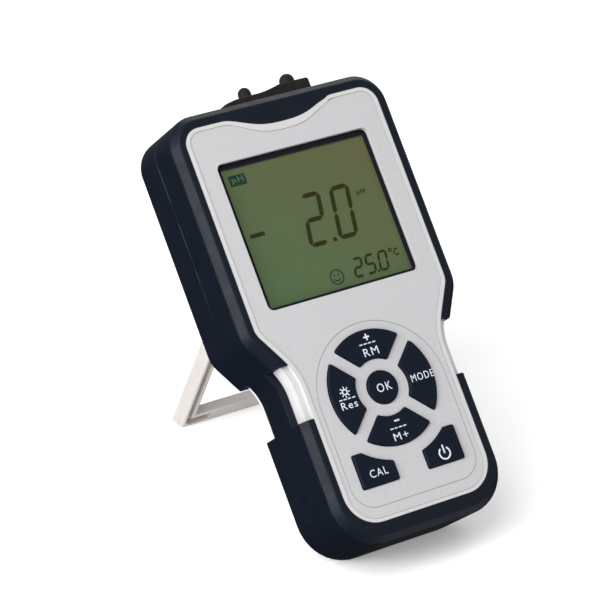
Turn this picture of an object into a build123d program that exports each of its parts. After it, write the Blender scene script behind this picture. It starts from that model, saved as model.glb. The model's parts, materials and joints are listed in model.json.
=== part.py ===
from build123d import *
import math
import os

# Handheld pH and temperature meter in a rubber boot, leaning back on its kickstand.
# Every piece is drawn flat: x to the right, y along the meter from its lower end,
# z from the back plane out of the keypad. The last section leans the whole meter back.

# ---- the boot and the outline that every shell follows ----
BOOT_LENGTH = 170.0
BOOT_DEPTH = 33.0
UPPER_HALF = 46.75          # half width beside the display
LOWER_HALF = 36.3           # half width beside the keypad
KNEE_LOW = 66.5             # where the waist starts to widen
KNEE_HIGH = 84.0            # where the waist is at full width
KNEE_LOW_RADIUS = 20.0
KNEE_HIGH_RADIUS = 12.0
BOTTOM_RADIUS = 17.5
TOP_RADIUS = 12.0
RIM_CHAMFER_WIDTH = 2.6
RIM_CHAMFER_DEPTH = 3.1
BACK_ROUND = 2.0
BOOT_WALL = 2.9
BACK_LIP = 2.0
FRONT_LIP = 1.8
RIM_WIDTH = 5.15            # from the boot's side to the panel opening
RIM_WIDTH_BOTTOM = 7.3
RIM_WIDTH_TOP = 5.5
SCALLOP_HALF = 25.0         # the dip in the top of the panel
SCALLOP_DROP = 5.3
SCALLOP_SHAPE = 1.4         # above 1 the dip has a broad middle
SCALLOP_STEPS = 6
BACK_OPENING = 10.0
BACK_OPENING_BOTTOM = 12.0
FOOT_NOTCH_LOW = 11.4       # square corners of the back opening, for the stand's foot
FOOT_NOTCH_HIGH = 30.0
WAIST_LOW = 50.3            # grip cut-outs in the boot's sides
WAIST_HIGH = 71.5
WAIST_FRONT_Z = 24.4
WAIST_BACK_Z = 9.0
GAP = 0.1                   # between parts that are pushed together

# ---- housing ----
HOUSING_INSET = BOOT_WALL + GAP
HOUSING_WALL = 2.2
INNER_INSET = HOUSING_INSET + HOUSING_WALL
HOUSING_BACK_Z = BACK_LIP + GAP
BACK_WALL_Z = HOUSING_BACK_Z + HOUSING_WALL
PARTING_Z = 17.0
FRONT_SHOULDER_Z = BOOT_DEPTH - FRONT_LIP - GAP
FRONT_WALL_Z = 29.2
LIP_Z = BOOT_DEPTH - 0.05
SEAT_Z = 32.2
SEAL_INSET = 3.65
SEAL_WIDTH = 0.9
SEAL_DEPTH = 1.0

# ---- panel overlay and display ----
OVERLAY_INSET = 6.9
OVERLAY_BOTTOM = 8.6
OVERLAY_TOP = 7.0
OVERLAY_SCALLOP = 6.7
OVERLAY_THICKNESS = 0.5
WINDOW_HALF = 32.8
WINDOW_LOW = 92.0
WINDOW_HIGH = 149.3
WINDOW_RADIUS = 2.5
LENS_TOP_Z = 31.7
LENS_THICKNESS = 0.8
MASK_THICKNESS = 0.2
LEDGE_THICKNESS = 0.5       # the housing's ledge between the mask and the glass
LEDGE_INSET = 0.4           # how far the ledge stops short of the mask's edge
VIEW_HALF = 30.9
VIEW_LOW = 93.2
VIEW_HIGH = 147.0
GLASS_HALF = 34.0
GLASS_LOW = 89.0
GLASS_HIGH = 152.0
GLASS_TOP_Z = LENS_TOP_Z - LENS_THICKNESS - MASK_THICKNESS - LEDGE_THICKNESS
GLASS_THICKNESS = 1.8
HOLDER_WALL = 2.0
ZEBRA_WIDTH = 2.4

# ---- circuit board ----
BOARD_BACK_Z = 23.4
BOARD_THICKNESS = 1.6
BOARD_FRONT_Z = BOARD_BACK_Z + BOARD_THICKNESS
BOARD_INSET = 6.5
BOARD_END_GAP = 12.0

# ---- keys ----
RING_Y = 53.8
RING_OUTER = 22.0
RING_INNER = 11.1
RING_GAP = 5.1
OK_RADIUS = 6.2
SIDE_KEY_OUTER_X = 22.1
SIDE_KEY_INNER_X = 6.5
SIDE_KEY_LOW = 20.2
SIDE_KEY_HIGH = 33.0
SIDE_KEY_ARC = 27.4
KEY_TOP_Z = 33.7
KEY_CLEARANCE = 0.3
KEY_FLANGE = 0.9
KEY_FLANGE_Z = 27.95
KEY_FLANGE_THICKNESS = 1.15
KEY_STEM_Z = 26.4
KEY_STEM_RADIUS = 2.2
KEY_RADIUS = 0.8
DOME_RADIUS = 3.0
DOME_HEIGHT = 0.75
DOME_SHEET = 0.15

# ---- screws ----
CASE_SCREWS = [(28.6, 20.0), (38.6, 92.0), (38.6, 151.0)]
BOSS_RADIUS = 2.4
SCREW_RADIUS = 1.1
SCREW_HOLE = 1.15
SCREW_HEAD_RADIUS = 2.1
SCREW_HEAD_HEIGHT = 1.8
SCREW_HEAD_Z = 2.8
SCREW_END_Z = 27.0
HEX_SOCKET = 0.9

# ---- kickstand ----
STAND_ANGLE = 68.0          # between the open stand and the back
HINGE_Y = 115.2
HINGE_Z = 5.1
STAND_HALF = 25.0
LEG_WIDTH = 5.0
LEG_DEPTH = 7.0
BAR_DEPTH = 4.0
BAR_START = 91.0
STAND_LENGTH = 103.0
CHANNEL_WIDTH = 2.0
CHANNEL_DEPTH = 2.5
CHANNEL_WALL = 1.2
CHANNEL_END = 12.0          # the channel stops this far from the middle of the bar
FOOT_RADIUS = 2.5
STAND_ROUND = 0.6
PIN_RADIUS = 1.25
PIN_RUNNING = 0.05
PIN_IN = 17.4
PIN_OUT = 28.4
RECESS_GAP = 0.4
RECESS_Z = 9.0
RECESS_LOW = 13.4
RECESS_HIGH = 119.1
RECESS_STOP = 118.05        # the edge that the open leg leans on
RECESS_STOP_Z = 2.6
RECESS_WALL = 1.6
LEAN = 48.5                 # the meter's long axis above the table

# ---- battery compartment ----
CELL_RADIUS = 7.1
CELL_LENGTH = 50.5
CELL_X = 7.8
CELL_LOW = 52.7
CELL_Z = 11.95
BAY_HALF = 16.2
BAY_LOW = 49.0
BAY_HIGH = 103.8
BAY_TOP_Z = 19.4
BAY_WALL = 1.6
COVER_HALF = 18.0
COVER_LOW = 39.5
COVER_HIGH = 106.5
COVER_Z = 4.3
COVER_SEAL = 0.8
COVER_RADIUS = 3.0
COVER_SCREW_Y = 43.6
TAB_WIDTH = 2.0
CONTACT_THICKNESS = 0.4

# ---- sockets at the upper end ----
BNC_X = 15.0
TEMP_X = -3.0
SOCKET_Z = PARTING_Z
WELL_LEFT = -12.0
WELL_RIGHT = 24.0
WELL_HALF_DEPTH = 8.8
WELL_FLOOR_Y = 160.0
WELL_FLOOR = 2.0
WELL_WALL = 1.3
WELL_TOP_Y = BOOT_LENGTH - HOUSING_INSET
BNC_RADIUS = 4.83
BNC_BORE = 4.06
BNC_TOP_Y = 172.6
BNC_BORE_DEPTH = 8.3
BNC_LUG_REACH = 5.5
BNC_LUG_RADIUS = 0.95
BNC_DIELECTRIC = 2.4
BNC_CONTACT = 1.0
TEMP_RADIUS = 4.15
TEMP_BORE = 3.3
TEMP_CORE = 1.6
TEMP_TOP_Y = 171.4
NUT_HEIGHT = 2.0
NUT_FLATS = 6.0

# ---- dust cap strip ----
CAP_BASE_Y = BOOT_LENGTH + GAP
CAP_LEFT = -17.8
CAP_RIGHT = 22.0
CAP_HALF_DEPTH = 7.0
CAP_BLOCK_Y = 175.3
CAP_WAVE = [(CAP_LEFT, 171.0), (-13.1, 173.0), (-5.0, 173.7), (2.0, 173.9), (8.2, 175.0), (12.0, CAP_BLOCK_Y)]
CAP_CORNER = 1.2
CAP_ROUND = 0.7
CAP_SKIRT_Y = 164.6
CAP_WALL = 1.2
CAP_BORE_GAP = 0.15
KNOBS = [(-2.5, 176.1, 2.5), (16.6, 177.0, 2.9)]     # x, y of the ball and its radius

pieces = {}


def outline(inset, bottom=None, top=None):
    """The meter's outline, drawn inset from the boot's side."""
    low = inset if bottom is None else bottom
    high = BOOT_LENGTH - (inset if top is None else top)
    slope = math.atan2(UPPER_HALF - LOWER_HALF, KNEE_HIGH - KNEE_LOW)
    knee_shift = inset * math.tan(slope / 2)
    upper = UPPER_HALF - inset
    lower = LOWER_HALF - inset
    right = [
        (lower, low),
        (lower, KNEE_LOW + knee_shift),
        (upper, KNEE_HIGH + knee_shift),
        (upper, high),
    ]
    left = [(-x, y) for x, y in reversed(right)]
    bends = [
        max(BOTTOM_RADIUS - inset, 3.0),
        KNEE_LOW_RADIUS + inset,
        max(KNEE_HIGH_RADIUS - inset, 3.0),
        max(TOP_RADIUS - inset, 3.0),
    ]
    with BuildSketch(mode=Mode.PRIVATE) as shape:
        with BuildLine():
            FilletPolyline(*right, *left, radius=bends + bends[::-1], close=True)
        make_face()
    return shape.sketch


def dip(share):
    """The dip's depth at a share of the way from its middle to its end, from 1 down to 0."""
    return 0.5 * (1 + math.cos(math.pi * abs(share) ** SCALLOP_SHAPE))


def scallop(top, drop):
    """The wavy dip that the boot's rim makes into the top of the panel."""
    edge = BOOT_LENGTH - top
    shares = [step / SCALLOP_STEPS for step in range(-SCALLOP_STEPS, SCALLOP_STEPS + 1)]
    wave = [(share * SCALLOP_HALF, edge - drop * dip(share)) for share in shares]
    with BuildSketch(mode=Mode.PRIVATE) as shape:
        with BuildLine():
            Spline(*wave, tangents=[(1, 0), (1, 0)])
            Polyline(
                (SCALLOP_HALF, edge),
                (SCALLOP_HALF, edge + 5),
                (-SCALLOP_HALF, edge + 5),
                (-SCALLOP_HALF, edge),
            )
        make_face()
    return shape.sketch


def panel_outline(inset, bottom, top, drop):
    """An outline with the scalloped top, as the boot, the lip and the overlay have it."""
    with BuildSketch(mode=Mode.PRIVATE) as shape:
        add(outline(inset, bottom, top))
        add(scallop(top, drop), mode=Mode.SUBTRACT)
    return shape.sketch


def block(x_range, y_range, radius=0.0):
    """A rectangle between two x and two y values, with round corners if asked."""
    width = x_range[1] - x_range[0]
    height = y_range[1] - y_range[0]
    with BuildSketch(mode=Mode.PRIVATE) as shape:
        with Locations((sum(x_range) / 2, sum(y_range) / 2)):
            if radius > 0:
                RectangleRounded(width, height, radius)
            else:
                Rectangle(width, height)
    return shape.sketch


def ring_key(turn, grow):
    """One quarter of the key ring; grow widens it for its hole or its flange."""
    apex = (RING_GAP / 2 - grow) * math.sqrt(2)
    reach = RING_OUTER * 2
    with BuildSketch(mode=Mode.PRIVATE) as shape:
        Circle(RING_OUTER + grow)
        Circle(RING_INNER - grow, mode=Mode.SUBTRACT)
        Polygon((0, apex), (reach, apex + reach), (-reach, apex + reach), align=None, mode=Mode.INTERSECT)
        fillet(shape.vertices(), KEY_RADIUS)
    return Pos(0, RING_Y) * Rot(0, 0, turn) * shape.sketch


def side_key(side, grow):
    """The lower keys: a rectangle whose inner top corner gives way to the ring."""
    near = SIDE_KEY_INNER_X - grow
    far = SIDE_KEY_OUTER_X + grow
    with BuildSketch(mode=Mode.PRIVATE) as shape:
        add(block((near, far), (SIDE_KEY_LOW - grow, SIDE_KEY_HIGH + grow)))
        with Locations((0, RING_Y)):
            Circle(SIDE_KEY_ARC - grow, mode=Mode.SUBTRACT)
        fillet(shape.vertices(), KEY_RADIUS)
        if side < 0:
            mirror(about=Plane.YZ)
            add(block((0, 2 * far), (0, 2 * RING_Y)), mode=Mode.SUBTRACT)
    return shape.sketch


def round_key(grow):
    with BuildSketch(mode=Mode.PRIVATE) as shape:
        with Locations((0, RING_Y)):
            Circle(OK_RADIUS + grow)
    return shape.sketch


def key_shape(name, grow):
    """The outline of a key by its name."""
    turns = {"key_plus": 0, "key_backlight": 90, "key_minus": 180, "key_mode": 270}
    if name in turns:
        return ring_key(turns[name], grow)
    if name == "key_ok":
        return round_key(grow)
    return side_key(-1 if name == "key_cal" else 1, grow)


RING_MIDDLE = (RING_OUTER + RING_INNER) / 2
SIDE_KEY_MIDDLE = (SIDE_KEY_OUTER_X + SIDE_KEY_INNER_X) / 2
KEYS = {
    "key_plus": (0, RING_Y + RING_MIDDLE),
    "key_backlight": (-RING_MIDDLE, RING_Y),
    "key_minus": (0, RING_Y - RING_MIDDLE),
    "key_mode": (RING_MIDDLE, RING_Y),
    "key_ok": (0, RING_Y),
    "key_cal": (-SIDE_KEY_MIDDLE, 26.0),
    "key_power": (SIDE_KEY_MIDDLE, 26.0),
}
SCREW_POINTS = [(side * x, y) for side in (-1, 1) for x, y in CASE_SCREWS]
STAND_OUT = Plane(
    origin=(0, HINGE_Y, HINGE_Z),
    x_dir=(1, 0, 0),
    z_dir=(0, math.sin(math.radians(STAND_ANGLE)), -math.cos(math.radians(STAND_ANGLE))),
)
SOCKET_PLANE = Plane(origin=(0, 0, SOCKET_Z), x_dir=(1, 0, 0), z_dir=(0, 1, 0))

# ---- boot ----
with BuildPart() as boot:
    with BuildSketch():
        add(outline(0))
    extrude(amount=BOOT_DEPTH)
    rim = boot.faces().sort_by(Axis.Z)[-1]
    chamfer(rim.edges(), length=RIM_CHAMFER_WIDTH, length2=RIM_CHAMFER_DEPTH, reference=rim)
    fillet(boot.faces().sort_by(Axis.Z)[0].edges(), BACK_ROUND)
    with BuildSketch(Plane.XY.offset(BACK_LIP)):
        add(outline(BOOT_WALL))
    extrude(amount=BOOT_DEPTH - BACK_LIP - FRONT_LIP, mode=Mode.SUBTRACT)
    with BuildSketch(Plane.XY.offset(BOOT_DEPTH - 2 * FRONT_LIP)):
        add(panel_outline(RIM_WIDTH, RIM_WIDTH_BOTTOM, RIM_WIDTH_TOP, SCALLOP_DROP))
    extrude(amount=3 * FRONT_LIP, mode=Mode.SUBTRACT)
    with BuildSketch():
        add(outline(BACK_OPENING, BACK_OPENING_BOTTOM))
        notch_half = LOWER_HALF - BACK_OPENING
        add(block((-notch_half, notch_half), (FOOT_NOTCH_LOW, FOOT_NOTCH_HIGH), 1.0))
    extrude(amount=2 * BACK_LIP, mode=Mode.SUBTRACT)
    # grip cut-outs: the front of each side and a notch in its back
    with BuildSketch(Plane.XY.offset(WAIST_FRONT_Z)):
        add(block((-UPPER_HALF - 1, UPPER_HALF + 1), (WAIST_LOW, WAIST_HIGH)))
    extrude(amount=BOOT_DEPTH, mode=Mode.SUBTRACT)
    with BuildSketch(Plane.XY.offset(WAIST_BACK_Z)):
        add(block((-UPPER_HALF - 1, UPPER_HALF + 1), (WAIST_LOW, WAIST_HIGH)))
    extrude(amount=-2 * WAIST_BACK_Z, mode=Mode.SUBTRACT)
    # slot in the upper end for the socket well
    with BuildSketch(Plane.XZ.offset(-WELL_FLOOR_Y)):
        with Locations(((WELL_LEFT + WELL_RIGHT) / 2, SOCKET_Z)):
            Rectangle(WELL_RIGHT - WELL_LEFT + 2 * GAP, 2 * WELL_HALF_DEPTH + 2 * GAP)
    extrude(amount=-2 * (BOOT_LENGTH - WELL_FLOOR_Y), mode=Mode.SUBTRACT)
pieces["boot"] = boot

# ---- front housing ----
with BuildPart() as front_housing:
    with BuildSketch(Plane.XY.offset(PARTING_Z)):
        add(outline(HOUSING_INSET))
    extrude(amount=FRONT_SHOULDER_Z - PARTING_Z)
    with BuildSketch(Plane.XY.offset(PARTING_Z)):
        add(outline(INNER_INSET))
    extrude(amount=FRONT_WALL_Z - PARTING_Z, mode=Mode.SUBTRACT)
    # bright lip around the panel, and the seat that the overlay is stuck into
    with BuildSketch(Plane.XY.offset(FRONT_WALL_Z)):
        add(panel_outline(RIM_WIDTH + GAP, RIM_WIDTH_BOTTOM + GAP, RIM_WIDTH_TOP + GAP, SCALLOP_DROP))
    extrude(amount=LIP_Z - FRONT_WALL_Z)
    with BuildSketch(Plane.XY.offset(SEAT_Z)):
        add(panel_outline(OVERLAY_INSET, OVERLAY_BOTTOM, OVERLAY_TOP, OVERLAY_SCALLOP))
    extrude(amount=FRONT_LIP, mode=Mode.SUBTRACT)
    # pocket behind the wall for the glass and its holder
    pocket = GLASS_HALF + HOLDER_WALL + GAP
    with BuildSketch(Plane.XY.offset(FRONT_WALL_Z - 1)):
        add(block((-pocket, pocket), (GLASS_LOW - HOLDER_WALL - GAP, GLASS_HIGH + HOLDER_WALL + GAP)))
    extrude(amount=GLASS_TOP_Z - FRONT_WALL_Z + 1, mode=Mode.SUBTRACT)
    # key holes, and the window opening with a ledge under the lens
    with BuildSketch(Plane.XY.offset(FRONT_WALL_Z - 1)):
        opening = VIEW_HALF + LEDGE_INSET
        add(block((-opening, opening), (VIEW_LOW - LEDGE_INSET, VIEW_HIGH + LEDGE_INSET)))
        for key_name in KEYS:
            add(key_shape(key_name, KEY_CLEARANCE))
    extrude(amount=BOOT_DEPTH, mode=Mode.SUBTRACT)
    with BuildSketch(Plane.XY.offset(LENS_TOP_Z - LENS_THICKNESS - MASK_THICKNESS)):
        add(block((-WINDOW_HALF, WINDOW_HALF), (WINDOW_LOW, WINDOW_HIGH), WINDOW_RADIUS))
    extrude(amount=BOOT_DEPTH, mode=Mode.SUBTRACT)
    with BuildSketch(Plane.XY.offset(PARTING_Z + GAP)):
        with Locations(*SCREW_POINTS):
            Circle(BOSS_RADIUS)
    extrude(amount=FRONT_WALL_Z - PARTING_Z - GAP)
    with BuildSketch(Plane.XY.offset(PARTING_Z)):
        with Locations(*SCREW_POINTS):
            Circle(SCREW_HOLE)
    extrude(amount=SCREW_END_Z - PARTING_Z + 0.5, mode=Mode.SUBTRACT)
    with BuildSketch(Plane.XZ.offset(-WELL_FLOOR_Y)):
        with Locations(((WELL_LEFT + WELL_RIGHT) / 2, SOCKET_Z)):
            Rectangle(WELL_RIGHT - WELL_LEFT + 2 * GAP, 2 * WELL_HALF_DEPTH + 2 * GAP)
    extrude(amount=-(BOOT_LENGTH - WELL_FLOOR_Y), mode=Mode.SUBTRACT)
pieces["front_housing"] = front_housing


def stand_recess(grow):
    """The U in the housing's back that the folded stand drops into."""
    inner = STAND_HALF - LEG_WIDTH
    bar_high = HINGE_Y - BAR_START + RECESS_GAP
    with BuildSketch(mode=Mode.PRIVATE) as shape:
        for side in (-1, 1):
            leg = sorted((side * (inner - RECESS_GAP - grow), side * (STAND_HALF + RECESS_GAP + grow)))
            add(block(leg, (RECESS_LOW - grow, RECESS_HIGH + grow)))
        add(block((-STAND_HALF, STAND_HALF), (RECESS_LOW - grow, bar_high + grow)))
    return shape.sketch


FINGER_NOTCH = ((-10.0, 10.0), (24.0, 31.0))
FINGER_NOTCH_Z = 6.4

# ---- rear housing ----
with BuildPart() as rear_housing:
    with BuildSketch(Plane.XY.offset(HOUSING_BACK_Z)):
        add(outline(HOUSING_INSET))
    extrude(amount=PARTING_Z - HOUSING_BACK_Z)
    with BuildSketch(Plane.XY.offset(BACK_WALL_Z)):
        add(outline(INNER_INSET))
    extrude(amount=PARTING_Z - BACK_WALL_Z, mode=Mode.SUBTRACT)
    # walls inside the back: around the stand recess, the finger notch and the battery bay
    with BuildSketch(Plane.XY.offset(BACK_WALL_Z)):
        add(stand_recess(RECESS_WALL))
        add(block((-11.6, 11.6), (24.0, 32.6)))
    extrude(amount=RECESS_Z + RECESS_WALL - BACK_WALL_Z)
    with BuildSketch(Plane.XY.offset(BACK_WALL_Z)):
        add(block((-COVER_HALF - 0.8, COVER_HALF + 0.8), (BAY_LOW - BAY_WALL, BAY_HIGH + BAY_WALL)))
    extrude(amount=BAY_TOP_Z + BAY_WALL - BACK_WALL_Z)
    with BuildSketch(Plane.XY.offset(BACK_WALL_Z)):
        add(block((-COVER_HALF - 0.8, COVER_HALF + 0.8), (COVER_LOW - 1, COVER_HIGH + 1)))
    extrude(amount=COVER_SEAL + 1.2)
    # bearings for the stand's pins
    with BuildSketch(Plane.XY.offset(BACK_WALL_Z)):
        for side in (-1, 1):
            add(block(sorted((side * 16.6, side * 29.2)), (HINGE_Y - 4, HINGE_Y + 4)))
    extrude(amount=RECESS_Z + RECESS_WALL - BACK_WALL_Z)
    with BuildSketch(Plane.XY.offset(BACK_WALL_Z)):
        with Locations(*SCREW_POINTS):
            Circle(BOSS_RADIUS)
        with Locations((0, COVER_SCREW_Y)):
            Circle(3.2)
    extrude(amount=PARTING_Z - BACK_WALL_Z)
    # openings from the back
    with BuildSketch(Plane.XY.offset(RECESS_STOP_Z)):
        add(stand_recess(0))
    extrude(amount=RECESS_Z - RECESS_STOP_Z, mode=Mode.SUBTRACT)
    with BuildSketch():
        add(stand_recess(0))
        add(block((-UPPER_HALF, UPPER_HALF), (RECESS_STOP, BOOT_LENGTH)), mode=Mode.SUBTRACT)
    extrude(amount=RECESS_STOP_Z, mode=Mode.SUBTRACT)
    with BuildSketch():
        add(block(*FINGER_NOTCH, 2.0))
    extrude(amount=FINGER_NOTCH_Z, mode=Mode.SUBTRACT)
    with BuildSketch():
        add(block((-COVER_HALF, COVER_HALF), (COVER_LOW, COVER_HIGH), COVER_RADIUS))
    extrude(amount=COVER_Z + COVER_SEAL, mode=Mode.SUBTRACT)
    with BuildSketch():
        add(block((-BAY_HALF, BAY_HALF), (BAY_LOW, BAY_HIGH), 1.0))
    extrude(amount=BAY_TOP_Z, mode=Mode.SUBTRACT)
    with BuildSketch(Plane.XY.offset(BAY_TOP_Z - 1)):
        with Locations(*[(side * CELL_X, y) for side in (-1, 1) for y in (BAY_LOW + 0.3, BAY_HIGH - 0.3)]):
            Rectangle(TAB_WIDTH + 0.6, 1.4)
    extrude(amount=BAY_WALL + 2, mode=Mode.SUBTRACT)
    with BuildSketch():
        with Locations(*SCREW_POINTS):
            Circle(SCREW_HEAD_RADIUS + 0.2)
    extrude(amount=SCREW_HEAD_Z + SCREW_HEAD_HEIGHT, mode=Mode.SUBTRACT)
    with BuildSketch():
        with Locations(*SCREW_POINTS, (0, COVER_SCREW_Y)):
            Circle(SCREW_HOLE)
    extrude(amount=PARTING_Z - 2, mode=Mode.SUBTRACT)
    with BuildSketch(Plane.XY.offset(PARTING_Z - 3)):
        with Locations(*SCREW_POINTS):
            Circle(SCREW_HOLE)
    extrude(amount=4, mode=Mode.SUBTRACT)
    with Locations((-PIN_IN, HINGE_Y, HINGE_Z), (PIN_IN, HINGE_Y, HINGE_Z)):
        Cylinder(
            PIN_RADIUS + 0.02,
            2 * (PIN_OUT - PIN_IN),
            rotation=(0, 90, 0),
            mode=Mode.SUBTRACT,
        )
    # groove for the housing seal and the slot for the socket well
    with BuildSketch(Plane.XY.offset(PARTING_Z)):
        add(outline(SEAL_INSET - 0.05))
        add(outline(SEAL_INSET + SEAL_WIDTH + 0.05), mode=Mode.SUBTRACT)
    extrude(amount=-SEAL_DEPTH, mode=Mode.SUBTRACT)
    with BuildSketch(Plane.XZ.offset(-WELL_FLOOR_Y)):
        with Locations(((WELL_LEFT + WELL_RIGHT) / 2, SOCKET_Z)):
            Rectangle(WELL_RIGHT - WELL_LEFT + 2 * GAP, 2 * WELL_HALF_DEPTH + 2 * GAP)
    extrude(amount=-(BOOT_LENGTH - WELL_FLOOR_Y), mode=Mode.SUBTRACT)
pieces["rear_housing"] = rear_housing

# ---- seal between the housings, broken where the socket well passes through ----
with BuildPart() as housing_seal:
    with BuildSketch(Plane.XY.offset(PARTING_Z)):
        add(outline(SEAL_INSET))
        add(outline(SEAL_INSET + SEAL_WIDTH), mode=Mode.SUBTRACT)
        add(block((WELL_LEFT - 0.3, WELL_RIGHT + 0.3), (WELL_FLOOR_Y, BOOT_LENGTH)), mode=Mode.SUBTRACT)
    extrude(amount=-SEAL_DEPTH + 0.05)
pieces["housing_seal"] = housing_seal

# ---- panel overlay ----
with BuildPart() as panel_overlay:
    with BuildSketch(Plane.XY.offset(SEAT_Z)):
        add(panel_outline(OVERLAY_INSET + GAP, OVERLAY_BOTTOM + GAP, OVERLAY_TOP + GAP, OVERLAY_SCALLOP))
        window = block((-WINDOW_HALF, WINDOW_HALF), (WINDOW_LOW, WINDOW_HIGH), WINDOW_RADIUS)
        add(window, mode=Mode.SUBTRACT)
        for key_name in KEYS:
            add(key_shape(key_name, KEY_CLEARANCE), mode=Mode.SUBTRACT)
    extrude(amount=OVERLAY_THICKNESS)
pieces["panel_overlay"] = panel_overlay

# ---- display: window, printed mask, glass, holder, backlight, contact strips ----
with BuildPart() as lcd_window:
    edge = WINDOW_HALF - GAP
    with BuildSketch(Plane.XY.offset(LENS_TOP_Z)):
        add(block((-edge, edge), (WINDOW_LOW + GAP, WINDOW_HIGH - GAP), WINDOW_RADIUS))
    extrude(amount=-LENS_THICKNESS)
pieces["lcd_window"] = lcd_window

with BuildPart() as lcd_mask:
    edge = WINDOW_HALF - GAP
    with BuildSketch(Plane.XY.offset(LENS_TOP_Z - LENS_THICKNESS)):
        add(block((-edge, edge), (WINDOW_LOW + GAP, WINDOW_HIGH - GAP), WINDOW_RADIUS))
        add(block((-VIEW_HALF, VIEW_HALF), (VIEW_LOW, VIEW_HIGH)), mode=Mode.SUBTRACT)
    extrude(amount=-MASK_THICKNESS)
pieces["lcd_mask"] = lcd_mask

with BuildPart() as lcd_glass:
    with BuildSketch(Plane.XY.offset(GLASS_TOP_Z)):
        add(block((-GLASS_HALF, GLASS_HALF), (GLASS_LOW, GLASS_HIGH)))
    extrude(amount=-GLASS_THICKNESS)
pieces["lcd_glass"] = lcd_glass

with BuildPart() as lcd_holder:
    edge = GLASS_HALF + HOLDER_WALL
    with BuildSketch(Plane.XY.offset(BOARD_FRONT_Z)):
        add(block((-edge, edge), (GLASS_LOW - HOLDER_WALL, GLASS_HIGH + HOLDER_WALL)))
        add(
            block((-GLASS_HALF - GAP, GLASS_HALF + GAP), (GLASS_LOW - GAP, GLASS_HIGH + GAP)),
            mode=Mode.SUBTRACT,
        )
    extrude(amount=GLASS_TOP_Z - BOARD_FRONT_Z)
pieces["lcd_holder"] = lcd_holder

UNDER_GLASS = GLASS_TOP_Z - GLASS_THICKNESS - BOARD_FRONT_Z
with BuildPart() as lcd_backlight:
    edge = GLASS_HALF - GAP
    with BuildSketch(Plane.XY.offset(BOARD_FRONT_Z)):
        add(block((-edge, edge), (GLASS_LOW + ZEBRA_WIDTH + GAP, GLASS_HIGH - ZEBRA_WIDTH - GAP)))
    extrude(amount=UNDER_GLASS)
pieces["lcd_backlight"] = lcd_backlight

with BuildPart() as zebra_strips:
    with BuildSketch(Plane.XY.offset(BOARD_FRONT_Z)):
        with Locations((0, GLASS_LOW + ZEBRA_WIDTH / 2), (0, GLASS_HIGH - ZEBRA_WIDTH / 2)):
            Rectangle(2 * GLASS_HALF - 4, ZEBRA_WIDTH)
    extrude(amount=UNDER_GLASS)
pieces["zebra_strips"] = zebra_strips

# ---- circuit board, what is soldered to it, and the key contacts ----
with BuildPart() as main_board:
    with BuildSketch(Plane.XY.offset(BOARD_BACK_Z)):
        add(outline(BOARD_INSET, BOARD_END_GAP, BOARD_END_GAP))
        with Locations(*SCREW_POINTS):
            Circle(BOSS_RADIUS + 0.4, mode=Mode.SUBTRACT)
    extrude(amount=BOARD_THICKNESS)
pieces["main_board"] = main_board

with BuildPart() as board_chips:
    with BuildSketch(Plane.XY.offset(BOARD_BACK_Z)):
        for x, y, width, height in ((-18, 134, 14, 14), (4, 138, 6, 8), (12, 126, 10, 5)):
            with Locations((x, y)):
                Rectangle(width, height)
    extrude(amount=-1.7)
pieces["board_chips"] = board_chips

with BuildPart() as board_capacitors:
    with BuildSketch(Plane.XY.offset(BOARD_BACK_Z)):
        with Locations((28, 140), (28, 130), (28, 120)):
            Circle(3.15)
    extrude(amount=-7.5)
    fillet(board_capacitors.faces().group_by(Axis.Z)[0].edges(), 0.5)
pieces["board_capacitors"] = board_capacitors

with BuildPart() as buzzer:
    with BuildSketch(Plane.XY.offset(BOARD_BACK_Z)):
        with Locations((-20, 118)):
            Circle(6.0)
    extrude(amount=-5.5)
    with BuildSketch(Plane.XY.offset(BOARD_BACK_Z - 5.5)):
        with Locations((-20, 118)):
            Circle(1.0)
    extrude(amount=2.0, mode=Mode.SUBTRACT)
pieces["buzzer"] = buzzer

with BuildPart() as dome_sheet:
    with BuildSketch(Plane.XY.offset(BOARD_FRONT_Z)):
        add(block((-25.5, 25.5), (15.0, 78.0), 6.0))
        with Locations(*KEYS.values()):
            Circle(DOME_RADIUS + 0.2, mode=Mode.SUBTRACT)
    extrude(amount=DOME_SHEET)
pieces["dome_sheet"] = dome_sheet

with BuildPart() as snap_domes:
    dome_ball = (DOME_RADIUS ** 2 + DOME_HEIGHT ** 2) / (2 * DOME_HEIGHT)
    with Locations(*[(x, y, BOARD_FRONT_Z) for x, y in KEYS.values()]):
        with Locations((0, 0, DOME_HEIGHT - dome_ball)):
            Sphere(dome_ball)
    split(bisect_by=Plane.XY.offset(BOARD_FRONT_Z), keep=Keep.TOP)
pieces["snap_domes"] = snap_domes


def make_key(name):
    """A rubber key: cap, retaining flange behind the housing wall, and plunger."""
    with BuildPart() as key:
        with BuildSketch(Plane.XY.offset(KEY_FLANGE_Z)):
            add(key_shape(name, 0))
        extrude(amount=KEY_TOP_Z - KEY_FLANGE_Z)
        chamfer(key.faces().sort_by(Axis.Z)[-1].edges(), 0.25)
        with BuildSketch(Plane.XY.offset(KEY_FLANGE_Z)):
            add(key_shape(name, KEY_FLANGE))
        extrude(amount=KEY_FLANGE_THICKNESS)
        with BuildSketch(Plane.XY.offset(KEY_STEM_Z)):
            with Locations(KEYS[name]):
                Circle(KEY_STEM_RADIUS)
        extrude(amount=KEY_FLANGE_Z - KEY_STEM_Z)
    return key


for key_name in KEYS:
    pieces[key_name] = make_key(key_name)

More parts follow.
